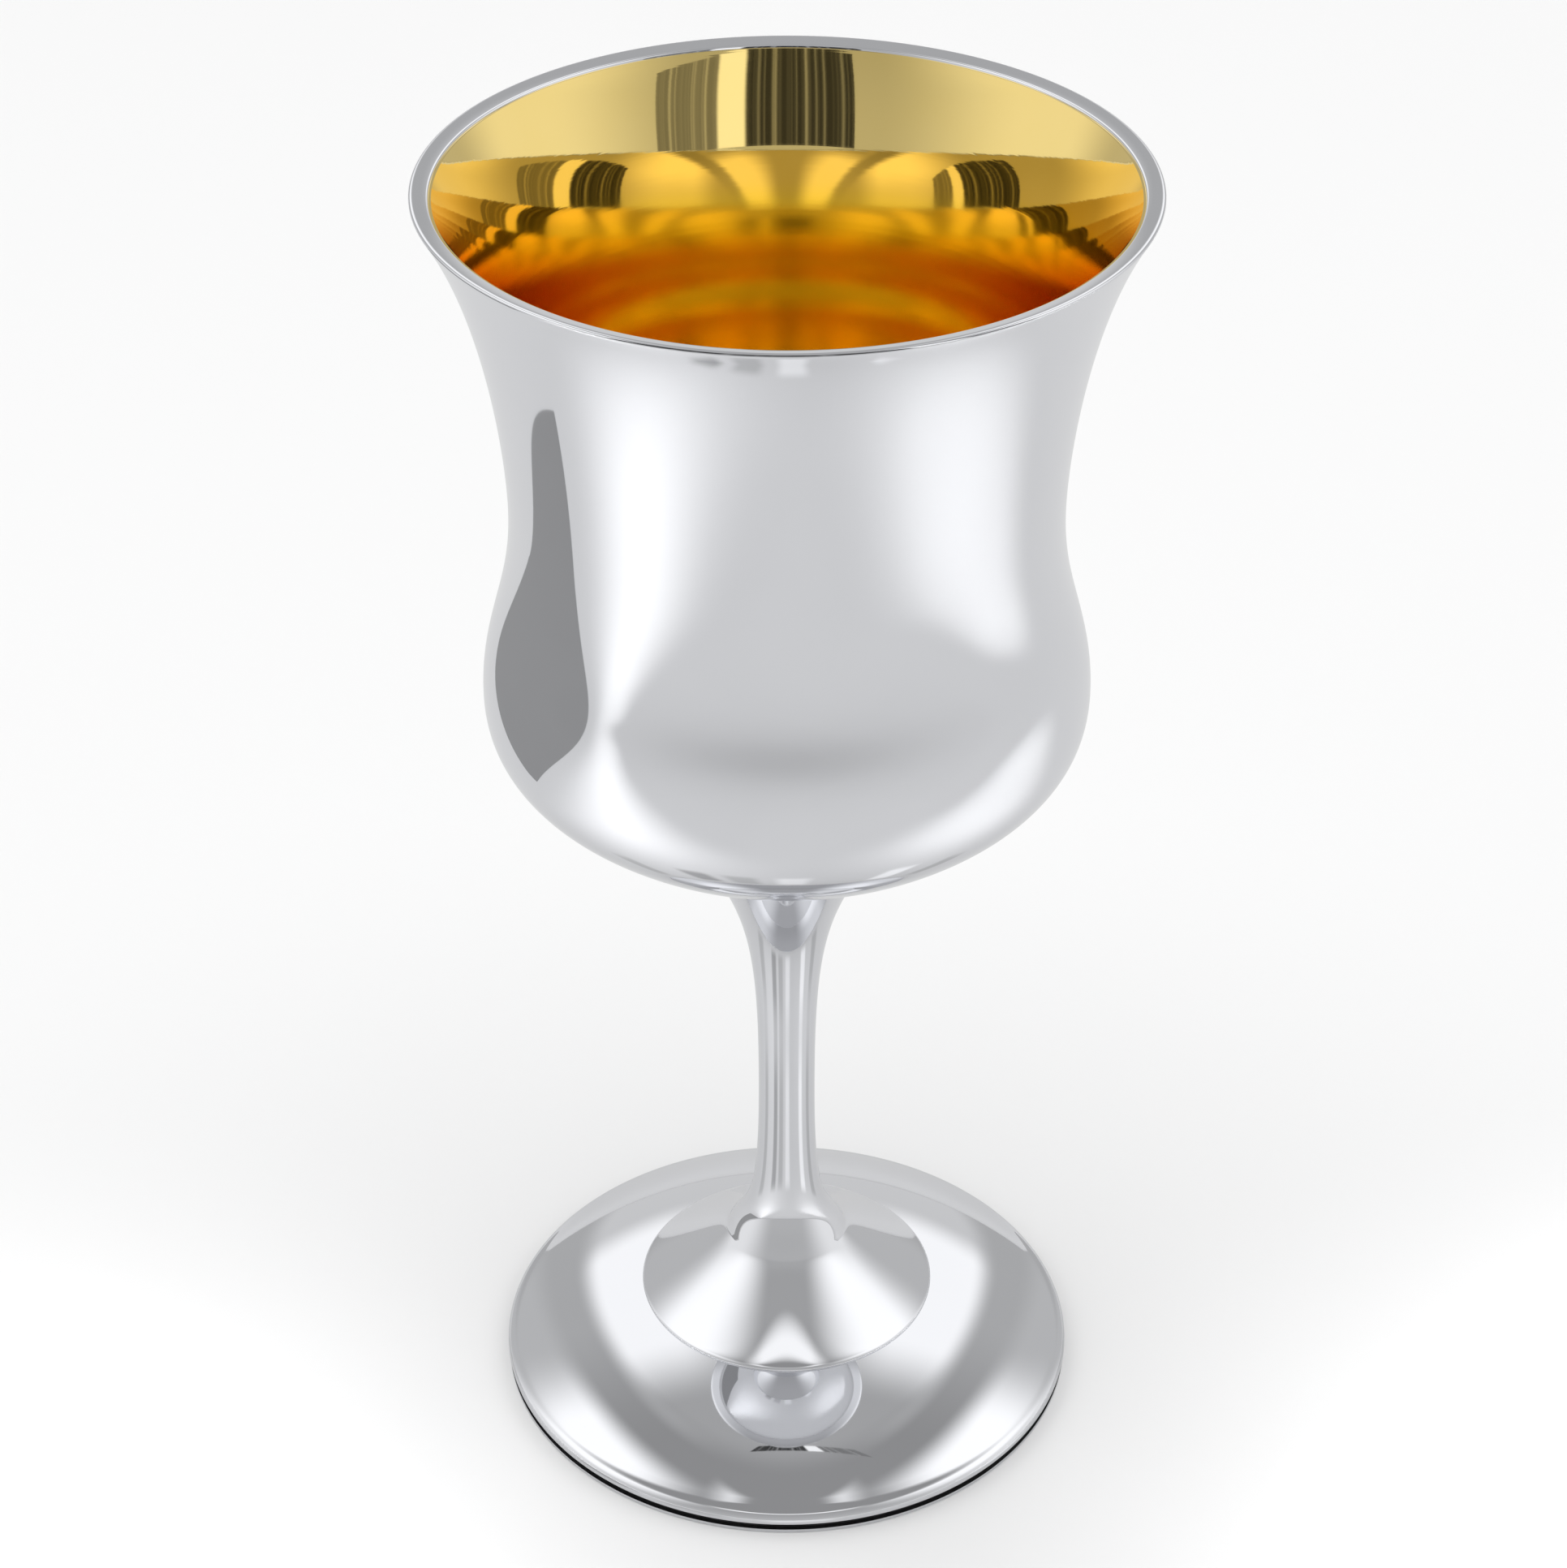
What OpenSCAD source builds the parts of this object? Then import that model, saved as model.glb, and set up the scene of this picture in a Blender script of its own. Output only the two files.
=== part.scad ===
// Communion chalice: a spun cup with a gilt inside, a turned stem and a domed foot.
// A tie rod draws the three together: it screws into a boss under the cup, runs down
// through the stem and ends in a nut inside the hollow foot.
// Millimetres, +Z up. The origin is the centre of the circle that the foot stands on.

/* [Cup] */
// Height of the chalice, from the table to the lip
chalice_h = 165; // [163:0.5:168]
// Radius of the cup where its flare meets the rounded lip
lip_r = 40.7; // [40:0.1:41.5]
// Width of the bare silver band on top of the lip
lip_band = 2.1; // [1.7:0.1:2.6]
// Outer radius of the waist of the cup
waist_r = 31.6; // [31:0.1:32.4]
// Height of the waist
waist_z = 126; // [125:0.5:127]
// Outer radius of the belly of the cup
belly_r = 35.4; // [34.8:0.1:36]
// Height of the belly
belly_z = 102; // [101:0.5:103]
// Radius of the sphere that the cup's bottom is part of
bottom_sphere_r = 46; // [45:0.5:47]
// Height of the lowest point of the cup's bottom
bottom_z = 80.4; // [80:0.1:80.8]
// Thickness of the cup's wall
cup_wall = 1.1; // [0.9:0.05:1.3]
// Thickness of the gilt lining, drawn thick enough to be a solid
gilt_wall = 0.25; // [0.2:0.05:0.4]

/* [Stem] */
// Outer radius of the stem's mouth, where the cup sits on it
mouth_r = 12.8; // [12.4:0.1:13.2]
// Outer radius of the neck, the thinnest place
neck_r = 3.5; // [3.4:0.1:4]
// Height of the neck
neck_z = 42.5; // [41:0.5:44]
// Outer radius of the skirt that spreads over the foot
skirt_r = 18.6; // [18:0.1:19.2]

/* [Foot] */
// Outer radius of the foot
foot_r = 36.45; // [36:0.05:37]
// Radius of the sphere that the foot's dome is part of
dome_sphere_r = 66; // [64:0.5:68]
// Height of the dome's crown, if it ran on to the axis
dome_z = 13.2; // [13:0.05:13.4]
// Thickness of the foot's wall
foot_wall = 1; // [0.8:0.05:1.2]
// Height of the base ring's visible edge
base_edge_h = 0.55; // [0.4:0.05:0.7]

/* [Fixing] */
// Width of the nut across its flats, M4
nut_af = 7; // [6.8:0.1:7.2]
// Height of the nut
nut_h = 3.2; // [2.8:0.1:3.4]
// Length of rod that stands out under the nut
rod_tail = 1.4; // [0.8:0.1:1.8]

/* [Hidden] */
$fn = 96;

// Colours of the metals
silver = "#d9dadd";
gold = "#e0b050";
brass = "#c9a24a";
steel = "#9a9ca0";

// Steps along each curve of an outline
curve_steps = 14;
edge_steps = 5;

// Cup: the handles that shape its curves, and the places that they meet
cap_r = 26;              // the spherical bottom runs out to here
cap_pull = 8.2;
belly_pull_down = 5.8;
belly_pull_up = 8.3;
waist_pull_down = 11.4;
waist_pull_up = 7.9;
lip_pull = 13.7;
lip_slope = 58.8;        // of the flare at the lip, from the horizontal
lip_round = 0.45;
band_drop = 0.35;        // the band falls this much towards the inside
band_round = 0.35;
bottom_centre_z = bottom_z + bottom_sphere_r;
cap_angle = asin(cap_r / bottom_sphere_r);

// Rod and the holes that it runs through
rod_r = 2;
shank_r = 1.75;
thread_l = 13;
rod_hole_r = 2.25;
rod_chamfer = 0.3;
close_fit = 0.05;        // radial clearance of parts that centre each other

// Boss under the cup, and its seat in the stem's mouth
boss_flange_r = 7.9;
boss_hub_r = 4;
boss_flange_z = 77;
boss_hub_z = 70;
tapped_depth = 9.4;
mouth_land = 1.4;        // width of the ring on which the cup rests
mouth_relief = 1;
mouth_slope = 58.4;
mouth_pull = 14.9;
neck_pull_up = 22.4;

// Skirt of the stem
neck_pull_down = 19;
knee = [7.5, 19.3];      // here the skirt turns up into the stem
knee_slope = 62;
knee_pull_up = 5.4;
knee_pull_down = 1.6;
skirt_slope = 31;
skirt_pull = 2;
skirt_lip = 0.5;         // thickness of the skirt's rounded edge above the foot
skirt_land = 1.8;        // width of the ring that rests on the foot
skirt_relief = 0.5;

// Bush that centres the stem and the foot
bush_r = 7.9;
bush_top_z = 14.6;
spigot_r = 4;

// Foot
seat_r = 9;              // flat seat on the crown, hidden by the skirt
dome_end_r = 34.9;
shoulder_z = 1.6;        // the rounded shoulder turns vertical here
shoulder_pull = 1;
foot_edge_z = 1.5;       // the foot's wall ends here, above the groove round the base ring
groove_depth = 0.75;     // of that groove, from the outer face of the foot
ring_w = 3.3;
ring_tongue = 0.35;      // the base ring's tongue stands this far up inside the foot
dome_centre_z = dome_z - dome_sphere_r;
seat_z = dome_centre_z + sqrt(pow(dome_sphere_r, 2) - pow(seat_r, 2));

// Stack of fixings under the crown, from the top down
clamp_r = 8.5;
clamp_t = 1.5;
clamp_chamfer = 0.4;
washer_r = 4.5;
washer_t = 0.8;
spring_r = 3.8;
spring_t = 0.9;
spring_gap = 0.7;
spring_gap_tilt = 25;
washer_hole_r = 2.15;
nut_chamfer = 0.35;
clamp_top_z = seat_z - foot_wall;
washer_top_z = clamp_top_z - clamp_t;
spring_top_z = washer_top_z - washer_t;
nut_top_z = spring_top_z - spring_t;
rod_end_z = nut_top_z - nut_h - rod_tail;
rod_top_z = boss_hub_z + tapped_depth - 0.3;

// A step of a given length in the direction of an angle, counted from +R towards +Z
function step(length, angle) = length * [cos(angle), sin(angle)];

// Points of a cubic curve from a to d, pulled towards b and c
function curve(a, b, c, d, steps = curve_steps) = [
    for (i = [0 : steps])
        let (t = i / steps, u = 1 - t)
            u * u * u * a + 3 * u * u * t * b + 3 * u * t * t * c + t * t * t * d
];

// Points of an arc about a centre on the axis, between two angles counted from +Z
function arc(centre_z, radius, from, to, steps) = [
    for (i = [0 : steps])
        let (a = from + (to - from) * i / steps)
            [radius * sin(a), centre_z + radius * cos(a)]
];

function reversed(points) = [for (i = [len(points) - 1 : -1 : 0]) points[i]];

// The cup's bottom between two radii of its outer face, at a depth inside that face
function bottom_arc(from_r, to_r, depth, steps) = arc(
    bottom_centre_z, bottom_sphere_r - depth,
    180 - asin(from_r / bottom_sphere_r), 180 - asin(to_r / bottom_sphere_r), steps
);

// The foot's dome between two radii of its outer face, at a depth inside that face
function dome_arc(from_r, to_r, depth, steps) = arc(
    dome_centre_z, dome_sphere_r - depth,
    asin(from_r / dome_sphere_r), asin(to_r / dome_sphere_r), steps
);

// Half outline of the cup's wall at a depth inside its outer face, from the axis up to
// a given point under the lip. It has a corner wherever another piece touches it.
function cup_outline(depth, rim) = concat(
    bottom_arc(0, boss_flange_r, depth, 3),
    bottom_arc(boss_flange_r, mouth_r - mouth_land, depth, 1),
    bottom_arc(mouth_r - mouth_land, mouth_r, depth, 1),
    bottom_arc(mouth_r, cap_r, depth, 5),
    let (cap_end = bottom_arc(cap_r, cap_r, depth, 1)[0])
        curve(
            cap_end,
            cap_end + step(cap_pull, cap_angle),
            [belly_r - depth, belly_z - belly_pull_down],
            [belly_r - depth, belly_z]
        ),
    curve(
        [belly_r - depth, belly_z],
        [belly_r - depth, belly_z + belly_pull_up],
        [waist_r - depth, waist_z - waist_pull_down],
        [waist_r - depth, waist_z]
    ),
    curve(
        [waist_r - depth, waist_z],
        [waist_r - depth, waist_z + waist_pull_up],
        rim - step(lip_pull, lip_slope),
        rim
    )
);

lip_outer = [lip_r, chalice_h - lip_round];
band_outer = [lip_r - lip_round, chalice_h];
band_inner = [lip_r - lip_band + band_round, chalice_h - band_drop];
gilt_rim = [lip_r - lip_band, chalice_h - band_drop - band_round];

// Rounded lip and the silver band, from the outer face over to the gilt
function lip_outline() = concat(
    curve(
        lip_outer, lip_outer + step(0.35, lip_slope),
        band_outer + [0.3, 0.03], band_outer, edge_steps
    ),
    curve(
        band_inner, band_inner - [0.2, 0.04],
        gilt_rim + [0.03, 0.2], gilt_rim, edge_steps
    )
);

// Polygons repeat no point, so every outline drops a point that equals the one before it
function distinct(points) = [
    for (i = [0 : len(points) - 1])
        if (i == 0 || norm(points[i] - points[i - 1]) > 0.0001) points[i]
];

module lathe(points) {
    rotate_extrude()
        polygon(distinct(points));
}

// Spun silver cup
module cup() {
    color(silver)
        lathe(concat(
            cup_outline(0, lip_outer),
            lip_outline(),
            reversed(cup_outline(cup_wall, gilt_rim))
        ));
}

// Gilding of the inside, from the bottom up to the silver band
module gilt_lining() {
    color(gold)
        lathe(concat(
            cup_outline(cup_wall, gilt_rim),
            reversed(cup_outline(cup_wall + gilt_wall, gilt_rim - [gilt_wall, 0]))
        ));
}

// Turned boss, soldered under the cup and tapped from below
module cup_boss() {
    color(brass)
        lathe(concat(
            [
                [0, boss_hub_z + tapped_depth],
                [rod_r, boss_hub_z + tapped_depth],
                [rod_r, boss_hub_z],
                [boss_hub_r, boss_hub_z],
                [boss_hub_r, boss_flange_z],
                [boss_flange_r, boss_flange_z]
            ],
            reversed(bottom_arc(0, boss_flange_r, 0, 3))
        ));
}

// M4 rod, threaded at both ends and thinner between them
module tie_rod() {
    color(steel)
        lathe([
            [0, rod_end_z],
            [rod_r - rod_chamfer, rod_end_z],
            [rod_r, rod_end_z + rod_chamfer],
            [rod_r, rod_end_z + thread_l - rod_chamfer],
            [shank_r, rod_end_z + thread_l],
            [shank_r, rod_top_z - thread_l],
            [rod_r, rod_top_z - thread_l + rod_chamfer],
            [rod_r, rod_top_z - rod_chamfer],
            [rod_r - rod_chamfer, rod_top_z],
            [0, rod_top_z]
        ]);
}

// Outer face of the stem, from the edge of the skirt up to the mouth
function stem_outline() =
    let (
        skirt_foot = dome_arc(skirt_r, skirt_r, 0, 1)[0],
        skirt_edge = skirt_foot + [-0.15, skirt_lip],
        mouth = bottom_arc(mouth_r, mouth_r, 0, 1)[0]
    )
    concat(
        curve(
            skirt_foot, skirt_foot + [0.2, 0.15],
            skirt_edge + [0.15, -0.09], skirt_edge, edge_steps
        ),
        curve(
            skirt_edge, skirt_edge + step(skirt_pull, 180 - skirt_slope),
            knee + step(knee_pull_down, -knee_slope), knee
        ),
        curve(
            knee, knee + step(knee_pull_up, 180 - knee_slope),
            [neck_r, neck_z - neck_pull_down], [neck_r, neck_z]
        ),
        curve(
            [neck_r, neck_z], [neck_r, neck_z + neck_pull_up],
            mouth - step(mouth_pull, mouth_slope), mouth
        )
    );

// Turned stem: a trumpet mouth, a thin neck and a skirt, bored through for the rod
module stem() {
    land_r = mouth_r - mouth_land;
    land = bottom_arc(land_r, mouth_r, 0, 1);
    relief_z = land[0][1] - mouth_relief;
    color(silver)
        lathe(concat(
            stem_outline(),
            reversed(land),
            [
                [land_r - mouth_relief / 2, relief_z],
                [boss_flange_r + close_fit, relief_z],
                [boss_flange_r + close_fit, boss_flange_z],
                [boss_hub_r + close_fit, boss_flange_z],
                [boss_hub_r + close_fit, boss_hub_z],
                [rod_hole_r, boss_hub_z],
                [rod_hole_r, bush_top_z],
                [bush_r + close_fit, bush_top_z],
                [bush_r + close_fit, seat_z + skirt_relief]
            ],
            dome_arc(seat_r + 1, skirt_r - skirt_land - 0.5, -skirt_relief, 4),
            dome_arc(skirt_r - skirt_land, skirt_r, 0, 1)
        ));
}

// Turned bush: fits the stem's recess, and its spigot fits the hole in the foot
module centring_bush() {
    spigot_end_z = seat_z - 0.8 * foot_wall;
    color(brass)
        lathe([
            [rod_hole_r, spigot_end_z],
            [spigot_r, spigot_end_z],
            [spigot_r, seat_z],
            [bush_r, seat_z],
            [bush_r, bush_top_z],
            [rod_hole_r, bush_top_z]
        ]);
}

// Shoulder where the dome turns down to its vertical edge, at a depth inside the outer face
function shoulder(depth) =
    let (
        start = dome_arc(dome_end_r, dome_end_r, depth, 1)[0],
        end = [foot_r - depth, shoulder_z]
    )
    curve(
        start, start + step(shoulder_pull, -asin(dome_end_r / dome_sphere_r)),
        end + [0, shoulder_pull], end, edge_steps
    );

// Spun foot: a hollow dome with a flat seat on its crown and a rounded, turned-down edge
module foot() {
    hole_r = spigot_r + close_fit;
    color(silver)
        lathe(concat(
            [[hole_r, seat_z - foot_wall], [hole_r, seat_z]],
            dome_arc(seat_r, skirt_r - skirt_land, 0, 4),
            dome_arc(skirt_r - skirt_land, skirt_r, 0, 1),
            dome_arc(skirt_r, dome_end_r, 0, curve_steps),
            shoulder(0),
            [[foot_r, foot_edge_z], [foot_r - foot_wall, foot_edge_z]],
            reversed(shoulder(foot_wall)),
            reversed(dome_arc(seat_r, dome_end_r, foot_wall, curve_steps)),
            [[seat_r - 1, seat_z - foot_wall]]
        ));
}

// Ring soldered into the foot's edge, on which the chalice stands. A groove parts its
// narrow visible edge from the foot, and its tongue centres the foot.
module base_ring() {
    outer_r = foot_r - 0.1;
    groove_r = foot_r - groove_depth;
    tongue_r = foot_r - foot_wall - close_fit;
    tongue_z = foot_edge_z + ring_tongue;
    color(silver)
        lathe([
            [outer_r - ring_w, 0],
            [outer_r - 0.15, 0],
            [outer_r, 0.15],
            [outer_r, base_edge_h],
            [groove_r, base_edge_h],
            [groove_r, foot_edge_z],
            [tongue_r, foot_edge_z],
            [tongue_r, tongue_z],
            [outer_r - ring_w, tongue_z]
        ]);
}

// A flat ring with its outer corners broken
module plate_ring(outer_r, hole_r, bottom_z, thickness, chamfer) {
    top_z = bottom_z + thickness;
    lathe([
        [hole_r, bottom_z],
        [outer_r - chamfer, bottom_z],
        [outer_r, bottom_z + chamfer],
        [outer_r, top_z - chamfer],
        [outer_r - chamfer, top_z],
        [hole_r, top_z]
    ]);
}

// Thick brass plate that spreads the nut's pull over the crown of the foot
module clamp_plate() {
    color(brass)
        plate_ring(clamp_r, rod_hole_r, washer_top_z, clamp_t, clamp_chamfer);
}

module flat_washer() {
    color(steel)
        plate_ring(washer_r, washer_hole_r, spring_top_z, washer_t, 0.1);
}

// Split washer that keeps the nut from working loose
module spring_washer() {
    color(steel)
        difference() {
            plate_ring(spring_r, washer_hole_r, nut_top_z, spring_t, 0.1);
            translate([0, (spring_r + washer_hole_r) / 2, nut_top_z + spring_t / 2])
                rotate([0, spring_gap_tilt, 0])
                    cube([spring_gap, spring_r, 3 * spring_t], center = true);
        }
}

// Hexagon nut with chamfered corners
module nut() {
    corner_r = nut_af / 2 / cos(30);
    color(steel)
        difference() {
            intersection() {
                translate([0, 0, nut_top_z - nut_h])
                    cylinder(r = corner_r, h = nut_h, $fn = 6);
                lathe([
                    [0, nut_top_z - nut_h],
                    [nut_af / 2, nut_top_z - nut_h],
                    [corner_r, nut_top_z - nut_h + nut_chamfer],
                    [corner_r, nut_top_z - nut_chamfer],
                    [nut_af / 2, nut_top_z],
                    [0, nut_top_z]
                ]);
            }
            translate([0, 0, nut_top_z - nut_h - 1])
                cylinder(r = rod_r, h = nut_h + 2);
        }
}

cup();
gilt_lining();
cup_boss();
tie_rod();
stem();
centring_bush();
foot();
base_ring();
clamp_plate();
flat_washer();
spring_washer();
nut();
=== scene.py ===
"""Looks of a communion chalice: turned mirror silver, a gilt inside and the fixings under the foot.

The outlines of the turned pieces are those of the CAD model, in millimetres, drawn with many more
steps, because a mirror shows every facet. Everything else is in metres, +Z up, in the CAD frame.
"""

import math

import bpy
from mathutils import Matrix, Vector


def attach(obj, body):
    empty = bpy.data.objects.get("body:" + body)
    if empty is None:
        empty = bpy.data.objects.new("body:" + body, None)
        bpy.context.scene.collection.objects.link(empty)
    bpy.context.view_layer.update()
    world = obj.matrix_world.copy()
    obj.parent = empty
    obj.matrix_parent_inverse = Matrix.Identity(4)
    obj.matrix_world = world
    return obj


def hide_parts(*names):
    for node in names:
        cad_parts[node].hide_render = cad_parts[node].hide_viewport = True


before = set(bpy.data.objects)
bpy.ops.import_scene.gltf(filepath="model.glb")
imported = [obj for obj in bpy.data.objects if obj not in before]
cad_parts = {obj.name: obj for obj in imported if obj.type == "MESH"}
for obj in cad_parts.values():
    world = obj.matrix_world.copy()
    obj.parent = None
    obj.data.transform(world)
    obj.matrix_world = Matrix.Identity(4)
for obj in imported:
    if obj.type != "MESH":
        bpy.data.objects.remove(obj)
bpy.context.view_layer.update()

MM = 0.001
ROUND = 256                 # vertices round each turned piece
LONG_STEPS = 36             # steps along a long curve of an outline
SHORT_STEPS = 12            # steps along a rounded edge
SHARP = math.radians(28)    # edges that turn more than this stay sharp
SAME = 1e-4                 # points closer than this are one point, in millimetres
THREAD_PITCH = 0.7          # of an M4 thread, in millimetres

# Cup, in millimetres
CHALICE_H = 165
LIP_R = 40.7
LIP_BAND = 2.1
LIP_SLOPE = 58.8
LIP_PULL = 13.7
LIP_ROUND = 0.45
BAND_DROP = 0.35            # the band falls this much towards the inside
BAND_ROUND = 0.35
WAIST = Vector((31.6, 126))
WAIST_PULL_DOWN = 11.4
WAIST_PULL_UP = 7.9
BELLY = Vector((35.4, 102))
BELLY_PULL_DOWN = 5.8
BELLY_PULL_UP = 8.3
BOTTOM_SPHERE_R = 46
BOTTOM_Z = 80.4
CAP_R = 26
CAP_PULL = 8.2
CUP_WALL = 1.1
GILT_WALL = 0.25

# Stem
MOUTH_R = 12.8
MOUTH_LAND = 1.4
MOUTH_SLOPE = 58.4
MOUTH_PULL = 14.9
NECK = Vector((3.5, 42.5))
NECK_PULL_UP = 22.4
NECK_PULL_DOWN = 19
KNEE = Vector((7.5, 19.3))
KNEE_SLOPE = 62
KNEE_PULL_UP = 5.4
KNEE_PULL_DOWN = 1.6
SKIRT_R = 18.6
SKIRT_SLOPE = 31
SKIRT_PULL = 2
SKIRT_LIP = 0.5
SKIRT_LAND = 1.8
BORE_R = 2.25

# Foot and base ring
FOOT_R = 36.45
FOOT_WALL = 1
DOME_SPHERE_R = 66
DOME_Z = 13.2
DOME_END_R = 34.9
SHOULDER_Z = 1.6
SHOULDER_PULL = 1
SEAT_R = 9
SPIGOT_R = 4
CLOSE_FIT = 0.05            # radial clearance of pieces that centre each other
FOOT_EDGE_Z = 1.5
BASE_EDGE_H = 0.55
GROOVE_DEPTH = 0.75         # from the outer face of the foot
RING_W = 3.3
RING_TONGUE = 0.35          # the base ring's tongue stands this far up inside the foot
RING_INSET = 0.1            # of the ring's edge from the foot's outer face
RING_CHAMFER = 0.15

# Studio, in metres
FLOOR_REACH = 4.0
MIRRORED_FLOOR_Z = -0.0005
CARD_Z = 0.001
CURTAIN_Y = -0.043
CURTAIN_LEFT = -0.027
CURTAIN_RIGHT = 0.067
CURTAIN_BOTTOM = 0.167
CURTAIN_TOP = 0.228

# Streaks of painted light and shade on the mirrored floor: where the middle is, in degrees from the
# front, and how bright it is
PAINTED_LIGHT_AND_SHADE_STREAKS = ((-88, 0.5), (-45, 0.38), (-22, 0.5), (3, 0.9), (56, 0.99), (92, 0.5))

BOUNCES = 24                # the gilt mirrors itself many times low in the cup

CAMERA_PLACE = (-0.0004, -0.37887, 0.33861)
CAMERA_DOWN = 33.5777       # degrees below level
CAMERA_LENS = 87.70         # in millimetres, as is the sensor
CAMERA_SENSOR = 36

LIP_OUTER = Vector((LIP_R, CHALICE_H - LIP_ROUND))
BAND_OUTER = Vector((LIP_R - LIP_ROUND, CHALICE_H))
BAND_INNER = Vector((LIP_R - LIP_BAND + BAND_ROUND, CHALICE_H - BAND_DROP))
GILT_RIM = Vector((LIP_R - LIP_BAND, CHALICE_H - BAND_DROP - BAND_ROUND))


# ---- Outlines: lists of (radius, height) in millimetres ----


def step(length, degrees):
    """A step of that length in the direction of an angle, counted from outwards towards up."""
    angle = math.radians(degrees)
    return Vector((length * math.cos(angle), length * math.sin(angle)))


def curve(a, b, c, d, steps=LONG_STEPS):
    """Points of a cubic curve from a to d, pulled towards b and c."""
    points = []
    for i in range(steps + 1):
        t = i / steps
        u = 1 - t
        points.append(u ** 3 * a + 3 * u * u * t * b + 3 * u * t * t * c + t ** 3 * d)
    return points


def arc(centre_z, radius, start, end, steps=LONG_STEPS):
    """Points of an arc about a centre on the axis, between two angles counted from straight up."""
    angles = [start + (end - start) * i / steps for i in range(steps + 1)]
    return [Vector((radius * math.sin(a), centre_z + radius * math.cos(a))) for a in angles]


def bottom_arc(from_r, to_r, depth=0):
    """The cup's spherical bottom between two radii of its outer face, at a depth inside that face."""
    angles = [math.pi - math.asin(r / BOTTOM_SPHERE_R) for r in (from_r, to_r)]
    return arc(BOTTOM_Z + BOTTOM_SPHERE_R, BOTTOM_SPHERE_R - depth, *angles)


def dome_arc(from_r, to_r, depth=0):
    """The foot's dome between two radii of its outer face, at a depth inside that face."""
    angles = [math.asin(r / DOME_SPHERE_R) for r in (from_r, to_r)]
    return arc(DOME_Z - DOME_SPHERE_R, DOME_SPHERE_R - depth, *angles)


def cup_side(depth, rim):
    """The cup's wall at a depth inside its outer face, from the axis up to a point under the lip."""
    inward = Vector((-depth, 0))
    cap_end = bottom_arc(CAP_R, CAP_R, depth)[0]
    cap_slope = math.degrees(math.asin(CAP_R / BOTTOM_SPHERE_R))
    belly = BELLY + inward
    waist = WAIST + inward
    return (
        bottom_arc(0, CAP_R, depth)
        + curve(cap_end, cap_end + step(CAP_PULL, cap_slope), belly - step(BELLY_PULL_DOWN, 90), belly)
        + curve(belly, belly + step(BELLY_PULL_UP, 90), waist - step(WAIST_PULL_DOWN, 90), waist)
        + curve(waist, waist + step(WAIST_PULL_UP, 90), rim - step(LIP_PULL, LIP_SLOPE), rim)
    )


def cup_outline():
    lip = curve(
        LIP_OUTER, LIP_OUTER + step(0.35, LIP_SLOPE),
        BAND_OUTER + Vector((0.3, 0.03)), BAND_OUTER, SHORT_STEPS,
    )
    band_edge = curve(
        BAND_INNER, BAND_INNER - Vector((0.2, 0.04)),
        GILT_RIM + Vector((0.03, 0.2)), GILT_RIM, SHORT_STEPS,
    )
    return cup_side(0, LIP_OUTER) + lip + band_edge + cup_side(CUP_WALL, GILT_RIM)[::-1]


def gilt_outline():
    inner_rim = GILT_RIM - Vector((GILT_WALL, 0))
    return cup_side(CUP_WALL, GILT_RIM) + cup_side(CUP_WALL + GILT_WALL, inner_rim)[::-1]


def stem_outline():
    """The outer face from the skirt's edge up to the mouth, then down the bore, which stays plain."""
    skirt_foot = dome_arc(SKIRT_R, SKIRT_R)[0]
    skirt_edge = skirt_foot + Vector((-0.15, SKIRT_LIP))
    mouth = bottom_arc(MOUTH_R, MOUTH_R)[0]
    land = bottom_arc(MOUTH_R, MOUTH_R - MOUTH_LAND)
    under_skirt = dome_arc(SKIRT_R - SKIRT_LAND, SKIRT_R)
    edge_in = Vector((0.2, 0.15))
    edge_out = Vector((0.15, -0.09))
    return (
        curve(skirt_foot, skirt_foot + edge_in, skirt_edge + edge_out, skirt_edge, SHORT_STEPS)
        + curve(
            skirt_edge, skirt_edge + step(SKIRT_PULL, 180 - SKIRT_SLOPE),
            KNEE + step(KNEE_PULL_DOWN, -KNEE_SLOPE), KNEE,
        )
        + curve(KNEE, KNEE + step(KNEE_PULL_UP, 180 - KNEE_SLOPE), NECK - step(NECK_PULL_DOWN, 90), NECK)
        + curve(NECK, NECK + step(NECK_PULL_UP, 90), mouth - step(MOUTH_PULL, MOUTH_SLOPE), mouth)
        + land
        + [Vector((BORE_R, land[-1].y)), Vector((BORE_R, under_skirt[0].y))]
        + under_skirt
    )


def shoulder(depth):
    """Where the dome turns down to its vertical edge, at a depth inside the outer face."""
    start = dome_arc(DOME_END_R, DOME_END_R, depth)[0]
    end = Vector((FOOT_R - depth, SHOULDER_Z))
    slope = math.degrees(math.asin(DOME_END_R / DOME_SPHERE_R))
    return curve(
        start, start + step(SHOULDER_PULL, -slope),
        end + Vector((0, SHOULDER_PULL)), end, SHORT_STEPS,
    )


def foot_outline():
    hole_r = SPIGOT_R + CLOSE_FIT
    seat_z = dome_arc(SEAT_R, SEAT_R)[0].y
    return (
        [Vector((hole_r, seat_z - FOOT_WALL)), Vector((hole_r, seat_z))]
        + dome_arc(SEAT_R, DOME_END_R)
        + shoulder(0)
        + [Vector((FOOT_R, FOOT_EDGE_Z)), Vector((FOOT_R - FOOT_WALL, FOOT_EDGE_Z))]
        + shoulder(FOOT_WALL)[::-1]
        + dome_arc(SEAT_R, DOME_END_R, FOOT_WALL)[::-1]
        + [Vector((SEAT_R - 1, seat_z - FOOT_WALL)), Vector((hole_r, seat_z - FOOT_WALL))]
    )


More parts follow.
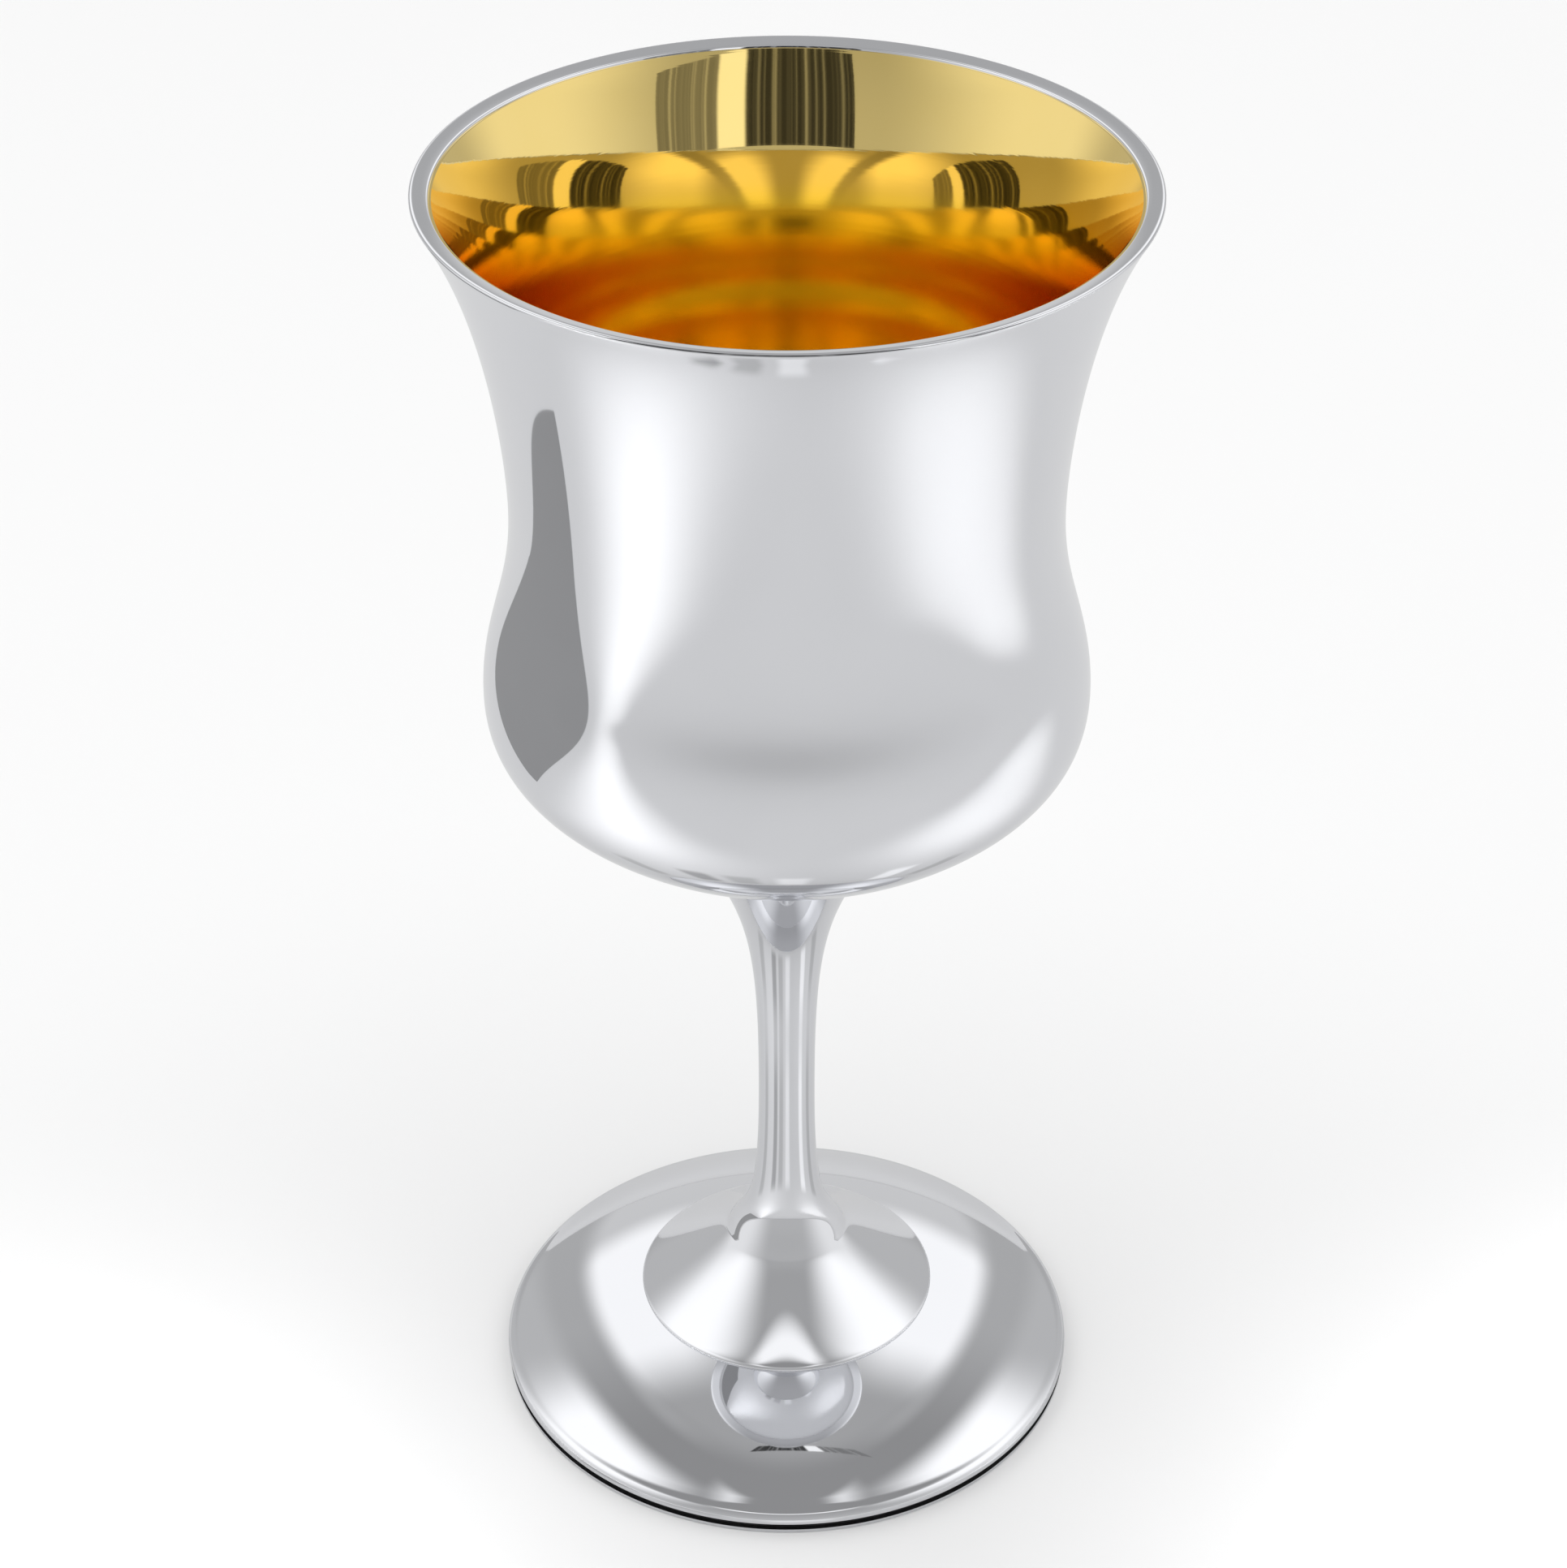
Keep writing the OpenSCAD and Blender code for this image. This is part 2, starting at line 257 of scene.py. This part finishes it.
def base_ring_outline():
    outer_r = FOOT_R - RING_INSET
    groove_r = FOOT_R - GROOVE_DEPTH
    tongue_r = FOOT_R - FOOT_WALL - CLOSE_FIT
    corners = [
        (outer_r - RING_W, 0),
        (outer_r - RING_CHAMFER, 0),
        (outer_r, RING_CHAMFER),
        (outer_r, BASE_EDGE_H),
        (groove_r, BASE_EDGE_H),
        (groove_r, FOOT_EDGE_Z),
        (tongue_r, FOOT_EDGE_Z),
        (tongue_r, FOOT_EDGE_Z + RING_TONGUE),
        (outer_r - RING_W, FOOT_EDGE_Z + RING_TONGUE),
        (outer_r - RING_W, 0),
    ]
    return [Vector(corner) for corner in corners]


# ---- Meshes ----


def distinct(points):
    """The points without any that repeats the one before it."""
    kept = points[:1]
    for point in points[1:]:
        if (point - kept[-1]).length > SAME:
            kept.append(point)
    return kept


def turned_piece(name, outline, material):
    """A smooth mesh made by turning an outline, given in millimetres, about the axis."""
    outline = distinct(outline)
    closed = (outline[0] - outline[-1]).length < SAME
    if closed:
        outline = outline[:-1]
    vertices, rings = [], []
    for radius, height in outline:
        count = 1 if radius < SAME else ROUND
        rings.append(range(len(vertices), len(vertices) + count))
        for i in range(count):
            angle = 2 * math.pi * i / ROUND
            vertices.append((MM * radius * math.cos(angle), MM * radius * math.sin(angle), MM * height))
    pairs = list(zip(rings, rings[1:]))
    if closed:
        pairs.append((rings[-1], rings[0]))
    faces = []
    for low, high in pairs:
        for i in range(ROUND):
            j = (i + 1) % ROUND
            corners = [low[i % len(low)], low[j % len(low)], high[j % len(high)], high[i % len(high)]]
            faces.append(list(dict.fromkeys(corners)))
    mesh = bpy.data.meshes.new(name)
    mesh.from_pydata(vertices, [], faces)
    mesh.shade_smooth()
    mesh.set_sharp_from_angle(angle=SHARP)
    mesh.materials.append(material)
    piece = bpy.data.objects.new(name, mesh)
    bpy.context.scene.collection.objects.link(piece)
    return piece


# ---- Node graphs ----


class Graph:
    """A node tree, with short calls that add nodes and join them."""

    def __init__(self, tree):
        self.tree = tree
        tree.nodes.clear()

    def add(self, kind, inputs=None, **settings):
        """A node of that kind. Inputs are numbers, colours or other nodes' outputs."""
        node = self.tree.nodes.new(kind)
        for name, value in settings.items():
            setattr(node, name, value)
        for name, value in (inputs or {}).items():
            if isinstance(value, bpy.types.NodeSocket):
                self.tree.links.new(value, node.inputs[name])
            else:
                node.inputs[name].default_value = value
        return node

    def math(self, operation, *values):
        return self.add("ShaderNodeMath", dict(enumerate(values)), operation=operation).outputs[0]

    def product(self, *values):
        """All the values, multiplied."""
        result = values[0]
        for value in values[1:]:
            result = self.math("MULTIPLY", result, value)
        return result

    def smooth(self, value, zero_at, one_at):
        """0 where value is at or past zero_at, 1 where it is at or past one_at, with a soft change."""
        ramp = {"Value": value, 1: zero_at, 2: one_at}
        return self.add("ShaderNodeMapRange", ramp, interpolation_type="SMOOTHSTEP").outputs[0]

    def stretch(self, value, low, high):
        """A value that runs from 0 to 1, made to run from low to high."""
        return self.add("ShaderNodeMapRange", {"Value": value, 3: low, 4: high}).outputs[0]

    def blend(self, share, first, second):
        """The first number where share is 0, the second where it is 1."""
        return self.add("ShaderNodeMix", {0: share, 2: first, 3: second}).outputs[0]

    def tint(self, share, first, second):
        """The first colour where share is 0, the second where it is 1."""
        return self.tint_from(share, (*first, 1), second)

    def tint_from(self, share, first, second):
        """As tint, with a first colour that comes from another node."""
        return self.add("ShaderNodeMixRGB", {0: share, 1: first, 2: (*second, 1)}).outputs[0]

    def place(self):
        """The place on the object, in millimetres."""
        metres = self.add("ShaderNodeTexCoord").outputs["Object"]
        scale = {0: metres, 1: (1 / MM, 1 / MM, 1 / MM)}
        return self.add("ShaderNodeVectorMath", scale, operation="MULTIPLY").outputs[0]

    def parts(self, vector):
        """The x, y and z of a vector."""
        return self.add("ShaderNodeSeparateXYZ", {0: vector}).outputs

    def vector(self, x=0.0, y=0.0, z=0.0):
        return self.add("ShaderNodeCombineXYZ", {0: x, 1: y, 2: z}).outputs[0]

    def distance(self, x, y):
        """The distance of a point from x = 0, y = 0, where the axis is."""
        squares = self.math("ADD", self.math("POWER", x, 2.0), self.math("POWER", y, 2.0))
        return self.math("SQRT", squares)

    def side(self, x, y):
        """The angle about the axis in degrees: 0 is the front, and the right is positive."""
        return self.math("DEGREES", self.math("ARCTAN2", x, self.math("MULTIPLY", y, -1.0)))

    def noise(self, place, pitch, detail=3.0):
        """Noise from 0 to 1 over a place in millimetres, with patches about as large as the pitch."""
        inputs = {"Vector": place, "Scale": 1 / pitch, "Detail": detail}
        return self.add("ShaderNodeTexNoise", inputs).outputs[0]


# ---- Materials ----


def new_material(name):
    material = bpy.data.materials.new(name)
    material.use_nodes = True
    return material, Graph(material.node_tree)


def metal_shader(graph, colour, roughness, height, depth_mm):
    bump = graph.add("ShaderNodeBump", {"Height": height, "Distance": depth_mm * MM}).outputs[0]
    shader = graph.add("ShaderNodeBsdfPrincipled", {
        "Base Color": colour,
        "Metallic": 1.0,
        "Roughness": roughness,
        "Normal": bump,
    })
    graph.add("ShaderNodeOutputMaterial", {0: shader.outputs[0]})


def turned_metal(name, light, dark, roughness, depth_mm, pitch_mm):
    """A metal with fine turning rings about the axis and cloudy patches of wear."""
    material, graph = new_material(name)
    place = graph.place()
    x, y, height = graph.parts(place)
    rings = graph.noise(graph.vector(graph.distance(x, y), 0.0, height), pitch_mm)
    clouds = graph.noise(place, 16, detail=4.0)
    wear = graph.product(graph.stretch(clouds, 0.6, 1.4), graph.stretch(rings, 0.7, 1.3))
    colour = graph.tint(clouds, dark, light)
    metal_shader(graph, colour, graph.product(wear, roughness), rings, depth_mm)
    return material


def polished_silver():
    """Mirror silver. The narrow groove over the base ring is painted near black, as painted shade in the
    recess, and is rougher.
    """
    material, graph = new_material("polished_silver")
    place = graph.place()
    x, y, height = graph.parts(place)
    radius = graph.distance(x, y)
    clouds = graph.noise(place, 16, detail=4.0)
    soft = 0.02
    inner_r = FOOT_R - FOOT_WALL
    # Painted shade: the mask of the groove over the base ring, which is painted near black
    groove = graph.product(
        graph.smooth(height, BASE_EDGE_H - soft, BASE_EDGE_H + soft),
        graph.smooth(height, FOOT_EDGE_Z + soft, FOOT_EDGE_Z - soft),
        graph.smooth(radius, FOOT_R - 0.15, FOOT_R - 0.25),
        graph.smooth(radius, inner_r - 0.45, inner_r - 0.25),
    )
    silver_tone = graph.tint(clouds, (0.78, 0.788, 0.815), (0.81, 0.818, 0.845))
    # Painted shade in the groove
    colour = graph.tint_from(groove, silver_tone, (0.03, 0.03, 0.03))
    roughness = graph.math("ADD", graph.stretch(clouds, 0.02, 0.04), graph.product(groove, 0.4))
    metal_shader(graph, colour, roughness, clouds, depth_mm=0.001)
    return material


def gilding():
    """Polished gold with spinning marks round the axis, and short fine scratches low in the cup.

    Low in the cup the gold mirrors itself many times over, and there its colour is painted a deeper
    amber, as painted reflection, and it is a little duller."""
    material, graph = new_material("gilding")
    place = graph.place()
    x, y, height = graph.parts(place)
    radius = graph.distance(x, y)
    rings = graph.noise(graph.vector(radius, 0.0, height), 0.9)
    # Noise over these changes slowly round the axis and fast across it, which draws short arcs
    turn = graph.product(graph.math("ARCTAN2", y, x), 2.5)
    arcs = graph.vector(turn, graph.product(radius, 5.0), height)
    low = graph.smooth(height, 112, 98)         # the belly and the bottom
    deep = graph.smooth(height, 153, 143)       # all but the flare
    scratches = graph.product(low, graph.smooth(graph.noise(arcs, 1), 0.5, 0.7))
    clouds = graph.noise(place, 9, detail=4.0)
    blur = graph.math("SUBTRACT", graph.product(deep, 0.09), graph.product(low, 0.06))
    roughness = graph.math("ADD", graph.stretch(rings, 0.02, 0.05), blur)
    bright = graph.tint(clouds, (0.93, 0.71, 0.25), (0.95, 0.74, 0.29))
    # Painted reflection: below the flare the gold is painted a deeper amber
    colour = graph.tint_from(deep, bright, (0.95, 0.74, 0.17))
    ring_relief = graph.product(rings, graph.blend(low, 0.08, 0.8))
    relief = graph.math("ADD", ring_relief, graph.product(scratches, 0.2))
    metal_shader(graph, colour, roughness, relief, depth_mm=0.05)
    return material


def threaded_steel():
    """Zinc plated steel with the ridges of the rod's M4 thread."""
    material, graph = new_material("threaded_steel")
    place = graph.place()
    x, y, height = graph.parts(place)
    turns = graph.math("DIVIDE", graph.math("ARCTAN2", y, x), 2 * math.pi)
    climb = graph.math("SUBTRACT", graph.math("DIVIDE", height, THREAD_PITCH), turns)
    ridges = graph.math("PINGPONG", climb, 0.5)
    clouds = graph.noise(place, 2)
    colour = graph.tint(clouds, (0.50, 0.51, 0.54), (0.66, 0.67, 0.70))
    metal_shader(graph, colour, graph.stretch(clouds, 0.25, 0.4), ridges, depth_mm=0.6)
    return material


def matt_shader(graph, colour):
    shader = graph.add("ShaderNodeBsdfPrincipled", {"Base Color": colour, "Roughness": 0.9})
    graph.add("ShaderNodeOutputMaterial", {0: shader.outputs[0]})


def matt(name, dark, light):
    """A matt surface with a soft, slow change between two greys."""
    material, graph = new_material(name)
    clouds = graph.noise(graph.place(), 400, detail=2.0)
    matt_shader(graph, graph.tint(clouds, (dark, dark, dark), (light, light, light)))
    return material


def floor_with_painted_streaks():
    """A matt floor with streaks of painted light and shade that spread from the foot, for the stem to
    mirror.
    """
    material, graph = new_material("mirrored_floor")
    place = graph.place()
    x, y = graph.parts(place)[:2]
    radius = graph.distance(x, y)
    side = graph.side(x, y)
    near = graph.product(graph.smooth(radius, 38, 44), graph.smooth(radius, 70, 58))
    grey = graph.stretch(graph.noise(place, 400, detail=2.0), 0.66, 0.68)
    # Painted light and shade: streaks lighter and darker than the grey, near the foot
    for middle, level in PAINTED_LIGHT_AND_SHADE_STREAKS:
        away = graph.math("ABSOLUTE", graph.math("SUBTRACT", side, middle))
        grey = graph.blend(graph.product(near, graph.smooth(away, 11, 4)), grey, level)
    matt_shader(graph, grey)
    return material


def curtain_painted_light():
    """A dark folded curtain with a bright gap, for the gilt to mirror. It glows with painted light, and
    its folds and gap are painted light.
    """
    material, graph = new_material("curtain_painted_light")
    x = graph.parts(graph.place())[0]
    # Painted light: lighter stripes for the folds
    painted_fold_light = graph.smooth(graph.noise(graph.vector(x), 3), 0.45, 0.75)
    painted_cloth_light = graph.stretch(graph.smooth(x, 21, 23), 0.04, 0.2)
    light = graph.math("ADD", painted_cloth_light, graph.product(painted_fold_light, 0.35))
    gap = graph.product(graph.smooth(x, 15, 17), graph.smooth(x, 29, 27))
    light = graph.blend(gap, light, 1.1)
    # Painted light: the curtain glows, though it is no lamp
    shader = graph.add("ShaderNodeEmission", {"Color": (1, 1, 1, 1), "Strength": light})
    graph.add("ShaderNodeOutputMaterial", {0: shader.outputs[0]})
    return material


# ---- Light ----


def studio_light():
    """A pale room, as a pattern of brightness by direction, which the mirror surfaces show.

    Azimuth is 0 at the front and 180 behind the object, and elevation 90 is straight up, in degrees.
    The side walls are white, and the front is grey with a narrow light over it. A soft dark frame
    parts the front half of the ceiling from a bright screen that slopes down behind the object."""
    world = bpy.data.worlds.new("studio")
    world.use_nodes = True
    graph = Graph(world.node_tree)
    x, y, z = graph.parts(graph.add("ShaderNodeTexCoord").outputs["Generated"])
    azimuth = graph.math("ABSOLUTE", graph.side(x, y))
    elevation = graph.math("DEGREES", graph.math("ARCSINE", z))

    # The same direction on a map of the sky: the middle is straight up, and 1 is the horizon
    from_top = graph.math("DIVIDE", graph.math("SUBTRACT", 90.0, elevation), 90.0)
    turn = graph.math("RADIANS", azimuth)
    map_right = graph.product(from_top, graph.math("SINE", turn))
    map_back = graph.product(from_top, graph.math("COSINE", turn), -1.0)

    low_front = graph.blend(graph.smooth(elevation, 5, 42), 0.53, 0.46)
    front = graph.blend(graph.smooth(elevation, 44, 60), low_front, 0.42)
    side_wall = graph.blend(graph.smooth(elevation, 22, 42), 0.92, 1.25)
    back_wall = graph.blend(graph.smooth(azimuth, 108, 132), side_wall, 0.55)
    walls = graph.blend(graph.smooth(azimuth, 90, 32), back_wall, front)
    room = graph.blend(graph.smooth(elevation, 64, 78), walls, 0.42)

    # 1 on the ellipse that the frame follows on this map, and less inside it
    across = graph.math("DIVIDE", map_right, 0.465)
    along = graph.math("DIVIDE", graph.math("SUBTRACT", map_back, 0.55), 0.728)
    to_frame = graph.distance(across, along)
    screen = graph.blend(graph.smooth(map_right, 0.06, 0.24), 0.46, 1.15)
    screen = graph.blend(graph.smooth(elevation, 9, 20), 0.68, screen)
    screen = graph.blend(graph.smooth(map_back, 0.1, 0.32), 0.43, screen)
    with_screen = graph.blend(graph.smooth(to_frame, 1.0, 0.83), room, screen)
    off_frame = graph.math("ABSOLUTE", graph.math("SUBTRACT", to_frame, 0.97))
    frame_grey = graph.blend(graph.smooth(map_back, 0.0, 0.5), 0.32, 0.47)
    with_frame = graph.blend(graph.smooth(off_frame, 0.16, 0.04), with_screen, frame_grey)

    strip = graph.product(
        graph.smooth(elevation, 66, 69), graph.smooth(elevation, 72.5, 70), graph.smooth(azimuth, 60, 30)
    )
    light = graph.blend(strip, with_frame, 1.15)

    background = graph.add("ShaderNodeBackground", {"Color": (1, 1, 1, 1), "Strength": light})
    graph.add("ShaderNodeOutputWorld", {0: background.outputs[0]})
    bpy.context.scene.world = world


def floor_light(name, place, size, turn, watts, spread):
    """A soft rectangular light that shines straight down and isn't mirrored in the metal.

    It is turned about the vertical, and turn and spread are in degrees."""
    data = bpy.data.lights.new(name, "AREA")
    data.shape = "RECTANGLE"
    data.size, data.size_y = size
    data.energy = watts
    data.spread = math.radians(spread)
    lamp = bpy.data.objects.new(name, data)
    lamp.location = place
    lamp.rotation_euler = (0, 0, math.radians(turn))
    lamp.visible_camera = False
    lamp.visible_glossy = False
    bpy.context.scene.collection.objects.link(lamp)


def stage_sheet(name, corners, material):
    """A flat sheet of the studio, which isn't part of the chalice."""
    mesh = bpy.data.meshes.new(name)
    mesh.from_pydata(corners, [], [(0, 1, 2, 3)])
    mesh.materials.append(material)
    sheet = bpy.data.objects.new(name, mesh)
    bpy.context.scene.collection.objects.link(sheet)
    return sheet


def floor_sheet(name, height, material):
    return stage_sheet(name, [
        (-FLOOR_REACH, -FLOOR_REACH, height),
        (FLOOR_REACH, -FLOOR_REACH, height),
        (FLOOR_REACH, FLOOR_REACH, height),
        (-FLOOR_REACH, FLOOR_REACH, height),
    ], material)


def studio():
    """A pale floor and soft light. The metal mirrors a darker floor with streaks of painted light and
    shade, a grey card and a curtain that glows with painted light.

    Those three are out of the camera's sight. The card lies on the left, and the curtain stands just
    outside the front of the lip."""
    studio_light()
    floor = floor_sheet("floor", 0, matt("pale_floor", 0.88, 0.90))
    floor.visible_glossy = False
    floor.visible_diffuse = False
    floor.visible_shadow = False
    mirrored = floor_sheet("mirrored_floor", MIRRORED_FLOOR_Z, floor_with_painted_streaks())
    mirrored.visible_camera = False

    card = stage_sheet("grey_card", [
        (-0.165, 0.03, CARD_Z),
        (-0.9, -0.26, CARD_Z),
        (-1.0, 0.6, CARD_Z),
        (-0.2, 0.22, CARD_Z),
    ], matt("grey_card", 0.27, 0.30))
    curtain = stage_sheet("curtain", [
        (CURTAIN_LEFT, CURTAIN_Y, CURTAIN_BOTTOM),
        (CURTAIN_RIGHT, CURTAIN_Y, CURTAIN_BOTTOM),
        (CURTAIN_RIGHT, CURTAIN_Y, CURTAIN_TOP),
        (CURTAIN_LEFT, CURTAIN_Y, CURTAIN_TOP),
    ], curtain_painted_light())
    for sheet in (card, curtain):
        sheet.visible_camera = False
        sheet.visible_diffuse = False
        sheet.visible_shadow = False

    floor_light("overhead_light", (0, 0, 2.0), (1.8, 1.8), turn=0, watts=21, spread=180)
    floor_light("left_light", (-0.42, -0.20, 0.5), (0.75, 0.05), turn=22, watts=0.24, spread=22)
    floor_light("right_light", (0.22, -0.03, 0.5), (0.26, 0.05), turn=22, watts=0.09, spread=22)


def camera():
    data = bpy.data.cameras.new("camera")
    data.lens = CAMERA_LENS
    data.sensor_width = CAMERA_SENSOR
    viewer = bpy.data.objects.new("camera", data)
    viewer.location = CAMERA_PLACE
    viewer.rotation_euler = (math.radians(90 - CAMERA_DOWN), 0, 0)
    bpy.context.scene.collection.objects.link(viewer)
    bpy.context.scene.camera = viewer


# ---- The chalice ----


silver = polished_silver()
gold = gilding()
brass = turned_metal(
    "turned_brass", (0.80, 0.61, 0.31), (0.72, 0.53, 0.25), roughness=0.25, depth_mm=0.01, pitch_mm=0.4
)
steel = turned_metal(
    "zinc_steel", (0.66, 0.67, 0.70), (0.55, 0.56, 0.59), roughness=0.3, depth_mm=0.005, pitch_mm=0.5
)
thread = threaded_steel()

for name, outline, material, slot in (
    ("cup", cup_outline(), silver, "polished_silver"),
    ("gilt_lining", gilt_outline(), gold, "gilding"),
    ("stem", stem_outline(), silver, "polished_silver"),
    ("foot", foot_outline(), silver, "polished_silver"),
    ("base_ring", base_ring_outline(), silver, "polished_silver"),
):
    piece = turned_piece("smooth_" + name, outline, material)
    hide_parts(name)
    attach(piece, "root")

for name, material in (
    ("cup_boss", brass),
    ("tie_rod", thread),
    ("centring_bush", brass),
    ("clamp_plate", brass),
    ("flat_washer", steel),
    ("spring_washer", steel),
    ("nut", steel),
):
    node_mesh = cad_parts[name].data
    node_mesh.materials.clear()
    node_mesh.materials.append(material)

studio()
camera()
scene = bpy.context.scene
scene.view_settings.view_transform = "Standard"
scene.cycles.max_bounces = BOUNCES
scene.cycles.glossy_bounces = BOUNCES
